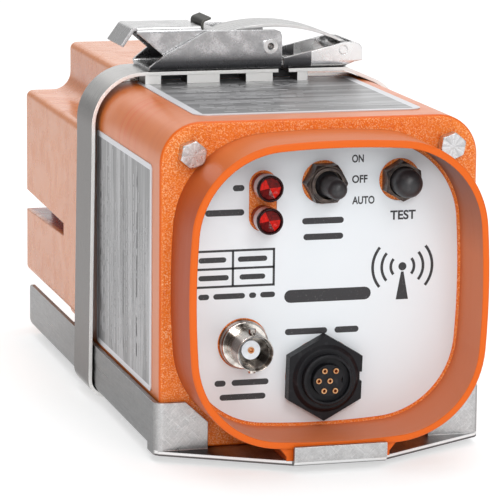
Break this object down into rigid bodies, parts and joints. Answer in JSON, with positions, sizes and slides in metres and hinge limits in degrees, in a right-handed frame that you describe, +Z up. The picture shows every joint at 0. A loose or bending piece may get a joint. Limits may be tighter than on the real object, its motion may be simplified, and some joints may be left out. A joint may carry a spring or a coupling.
{
  "type": "emergency position beacon",
  "caption": "Box-shaped emergency beacon with a recessed control panel, strapped by an over-centre latch into a sheet metal mounting tray.",
  "frame": {"origin": "centre of the tray's four screw holes, on the surface the tray stands on", "axes": "+Z up, -Y is the front with the controls, +Y runs along the housing to its rear, +X is to the right seen from the front"},
  "size_m": [0.0925, 0.195, 0.1077],
  "materials": {
    "orange_front": "moulded, pebbled front face, bright orange",
    "orange_rear": "moulded, smooth orange",
    "black_rubber": "moulded rubber, satin",
    "bolt_steel": "zinc plated",
    "panel_white": "printed self-adhesive film, satin",
    "label_grey": "printed metallic film with a white border",
    "red_lens": "faceted clear red plastic",
    "emitter_red": "clear red epoxy",
    "nickel": "turned, nickel plated",
    "insulator_white": "white fluoropolymer",
    "contact_gold": "gold plated",
    "jack_black": "moulded, black",
    "switch_case": "moulded",
    "switch_hex": "dark plated metal hex under a rubber film",
    "circuit_board": "solder mask",
    "post_metal": "turned",
    "tin_plate": "tin plated sheet",
    "cell_wrap": "shrink wrapped",
    "cradle_plastic": "moulded",
    "foam": "closed cell foam",
    "tray_steel": "bent sheet, mill finish with fine scratches",
    "strap_steel": "rolled strip, bright edges",
    "latch_steel": "tumbled, zinc plated",
    "pin_steel": "plated",
    "link_steel": "spring strip, satin",
    "dark_spring_steel": "blackened spring steel"
  },
  "bodies": {
    "master_toggle": {"toggle_boot_sleeve": "black_rubber", "toggle_lever": "bolt_steel"},
    "test_button": {"button_boot_cap": "black_rubber", "button_plunger": "switch_case"},
    "lever": {"latch_lever": "latch_steel", "catch_spring": "dark_spring_steel", "lever_rivets": "latch_steel", "link_pin": "pin_steel"},
    "link": {"tension_link": "link_steel"},
    "beacon": {"front_housing": "orange_front", "rear_case": "orange_rear", "seam_gasket": "black_rubber", "corner_bolts": "bolt_steel", "bolt_washers": "bolt_steel", "bolt_nuts": "bolt_steel", "panel_label": "panel_white", "side_label": "label_grey", "top_label": "label_grey", "led_lens_upper": "red_lens", "led_lens_lower": "red_lens", "led_rings": "bolt_steel", "led_emitters": "emitter_red", "antenna_jack_shell": "nickel", "antenna_jack_dielectric": "insulator_white", "antenna_jack_contact": "contact_gold", "antenna_jack_washer": "bolt_steel", "antenna_jack_nut": "bolt_steel", "remote_jack_shell": "jack_black", "remote_jack_insert": "jack_black", "remote_jack_contacts": "contact_gold", "remote_jack_seal": "black_rubber", "remote_jack_nut": "jack_black", "toggle_body": "switch_case", "toggle_nut": "bolt_steel", "toggle_boot_base": "switch_hex", "button_body": "switch_case", "button_nut": "bolt_steel", "button_boot_base": "switch_hex", "button_spring": "bolt_steel", "panel_board": "circuit_board", "main_board": "circuit_board", "board_posts": "post_metal", "board_screws": "bolt_steel", "rf_shield": "tin_plate", "crash_switch": "contact_gold", "rf_coax": "tin_plate", "battery_cells": "cell_wrap", "battery_cradle": "cradle_plastic", "battery_contact_plate": "circuit_board", "battery_pad": "foam", "mounting_tray": "tray_steel", "strap": "strap_steel", "strap_pads": "strap_steel", "latch_base": "latch_steel", "latch_rivets": "latch_steel", "latch_pivot_pin": "pin_steel", "keeper_bracket": "latch_steel", "keeper_bar": "latch_steel"}
  },
  "joints": [
    {"name": "master_switch", "type": "hinge", "parent": "beacon", "child": "master_toggle", "pos_m": [0, -0.0853, 0.0728], "axis": [1, 0, 0], "range_deg": [-13, 13]},
    {"name": "test_press", "type": "slide", "parent": "beacon", "child": "test_button", "axis": [0, 1, 0], "range_m": [0, 0.0012], "stiffness_N_per_m": 1500, "springref_m": -0.001},
    {"name": "latch_open", "type": "hinge", "parent": "beacon", "child": "lever", "pos_m": [0.0056, 0, 0.0995], "axis": [0, 1, 0], "range_deg": [0, 78]},
    {"name": "link_swing", "type": "hinge", "parent": "lever", "child": "link", "pos_m": [-0.009, 0, 0.1016], "axis": [0, 1, 0], "range_deg": [-78, 0]}
  ],
  "couplings": [
    {"joint": "link_swing", "follows": "latch_open", "ratio": -1}
  ]
}
